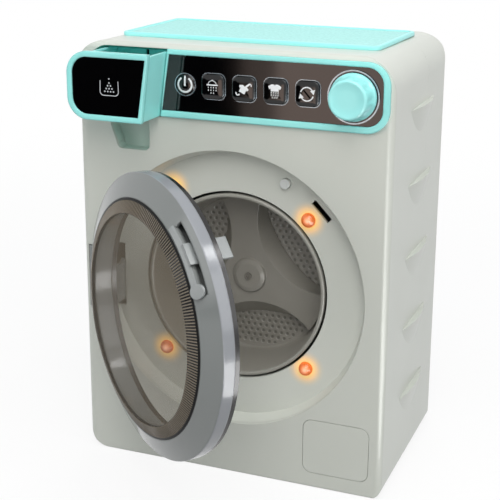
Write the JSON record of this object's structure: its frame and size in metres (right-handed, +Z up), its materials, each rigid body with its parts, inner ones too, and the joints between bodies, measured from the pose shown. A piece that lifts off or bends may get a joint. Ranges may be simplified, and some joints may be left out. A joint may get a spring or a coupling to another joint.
{
  "type": "toy washing machine",
  "caption": "Toy front-loading washing machine with an opening door, turning drum, pull-out drawer, push buttons, knob and lamps.",
  "frame": {"origin": "on the floor, under the middle of the cabinet", "axes": "+X to the viewer's right, -Y to the front, +Z up"},
  "size_m": [0.217, 0.2574, 0.2876],
  "materials": {
    "shell_white": "pale grey-white moulded plastic with a soft sheen",
    "tub_grey": "light grey moulded plastic",
    "teal_cover": "mint plastic with a fine mottled texture and a smooth border",
    "teal": "smooth mint plastic with a soft gloss",
    "teal_inner": "deep mint plastic",
    "gloss_black": "mirror-glossy black plastic",
    "bright_trim": "thin bright plated ring",
    "ring_grey": "cool grey plastic with a satin gloss",
    "frame_black": "black plastic, glossy",
    "smoky_window": "clear smoky brown plastic, finely ribbed round its edge",
    "lamp_orange": "glowing orange translucent lens",
    "pin_white": "white plastic",
    "drum_grey": "warm dark grey satin plastic, dimpled",
    "lip_grey": "grey-brown satin plastic",
    "steel": "plain zinc-plated steel",
    "board_green": "green circuit board",
    "black_plastic": "black plastic",
    "grey_plastic": "dark grey plastic",
    "gear_cream": "cream acetal",
    "bush_brass": "sintered brass",
    "battery_can": "plain dark battery jacket"
  },
  "bodies": {
    "cabinet": {"front_shell": "shell_white", "recess_dish": "shell_white", "scoop_cup": "shell_white", "rear_shell": "shell_white", "top_cover": "teal_cover", "filter_cover": "shell_white", "case_screws": "steel", "control_bezel": "teal", "fascia": "gloss_black", "button_trims": "bright_trim", "knob_trim": "bright_trim", "main_board": "board_green", "board_screws": "steel", "button_switches": "black_plastic", "rotary_switch": "grey_plastic", "drawer_guide": "teal_inner", "hinge_bracket": "ring_grey", "hinge_pin": "steel", "lamp_lenses": "lamp_orange", "lamp_boards": "board_green", "switch_housing": "black_plastic", "outer_tub": "tub_grey", "tub_screws": "steel", "bearing_bush": "bush_brass", "motor": "steel", "motor_bracket": "steel", "bracket_screws": "steel", "speaker": "black_plastic", "battery_box": "shell_white", "batteries": "battery_can", "battery_contacts": "steel", "battery_cover": "shell_white", "battery_cover_screw": "steel"},
    "door": {"door_ring": "ring_grey", "door_back_frame": "frame_black", "door_window": "smoky_window", "hinge_arm": "ring_grey", "door_screws": "steel", "latch_spring": "steel"},
    "latch": {"latch_lever": "ring_grey"},
    "drawer": {"drawer_front": "teal", "drawer_plate": "gloss_black", "drawer_tray": "teal"},
    "knob_body": {"knob": "teal", "knob_shaft": "steel"},
    "power_button_body": {"power_button": "gloss_black"},
    "button_1_body": {"button_1": "gloss_black"},
    "button_2_body": {"button_2": "gloss_black"},
    "button_3_body": {"button_3": "gloss_black"},
    "button_4_body": {"button_4": "gloss_black"},
    "switch_pin_body": {"switch_pin": "pin_white"},
    "drum": {"drum_shell": "drum_grey", "drum_lip": "lip_grey", "drum_rotor": "drum_grey", "hub_screw": "steel", "drum_shaft": "steel", "drum_gear": "gear_cream"},
    "pinion": {"motor_pinion": "gear_cream", "motor_shaft": "steel"}
  },
  "joints": [
    {"name": "door_hinge", "type": "hinge", "parent": "cabinet", "child": "door", "pos_m": [-0.098, -0.0698, 0.124], "axis": [0, 0, -1], "range_deg": [-36.5, 58.5]},
    {"name": "latch_pull", "type": "slide", "parent": "door", "child": "latch", "axis": [-0.5782, 0.4279, -0.6947], "range_m": [0, 0.0012], "stiffness_N_per_m": 400, "springref_m": -0.002},
    {"name": "drawer_slide", "type": "slide", "parent": "cabinet", "child": "drawer", "axis": [0, -1, 0], "range_m": [-0.026, 0.006]},
    {"name": "knob_turn", "type": "hinge", "parent": "cabinet", "child": "knob_body", "pos_m": [0.0818, -0.078, 0.261], "axis": [0, -1, 0], "range_deg": [-150, 150]},
    {"name": "power_button_press", "type": "slide", "parent": "cabinet", "child": "power_button_body", "axis": [0, 1, 0], "range_m": [0, 0.0015], "stiffness_N_per_m": 300, "springref_m": -0.001},
    {"name": "button_1_press", "type": "slide", "parent": "cabinet", "child": "button_1_body", "axis": [0, 1, 0], "range_m": [0, 0.0015], "stiffness_N_per_m": 300, "springref_m": -0.001},
    {"name": "button_2_press", "type": "slide", "parent": "cabinet", "child": "button_2_body", "axis": [0, 1, 0], "range_m": [0, 0.0015], "stiffness_N_per_m": 300, "springref_m": -0.001},
    {"name": "button_3_press", "type": "slide", "parent": "cabinet", "child": "button_3_body", "axis": [0, 1, 0], "range_m": [0, 0.0015], "stiffness_N_per_m": 300, "springref_m": -0.001},
    {"name": "button_4_press", "type": "slide", "parent": "cabinet", "child": "button_4_body", "axis": [0, 1, 0], "range_m": [0, 0.0015], "stiffness_N_per_m": 300, "springref_m": -0.001},
    {"name": "switch_pin_press", "type": "slide", "parent": "cabinet", "child": "switch_pin_body", "axis": [0, 1, 0], "range_m": [0, 0.003], "stiffness_N_per_m": 150, "springref_m": -0.002},
    {"name": "drum_spin", "type": "hinge", "parent": "cabinet", "child": "drum", "pos_m": [0, -0.03, 0.1283], "axis": [0, -1, 0], "continuous": true},
    {"name": "pinion_spin", "type": "hinge", "parent": "cabinet", "child": "pinion", "pos_m": [0, -0.012, 0.1043], "axis": [0, -1, 0], "continuous": true}
  ],
  "couplings": [
    {"joint": "pinion_spin", "follows": "drum_spin", "ratio": -3}
  ]
}
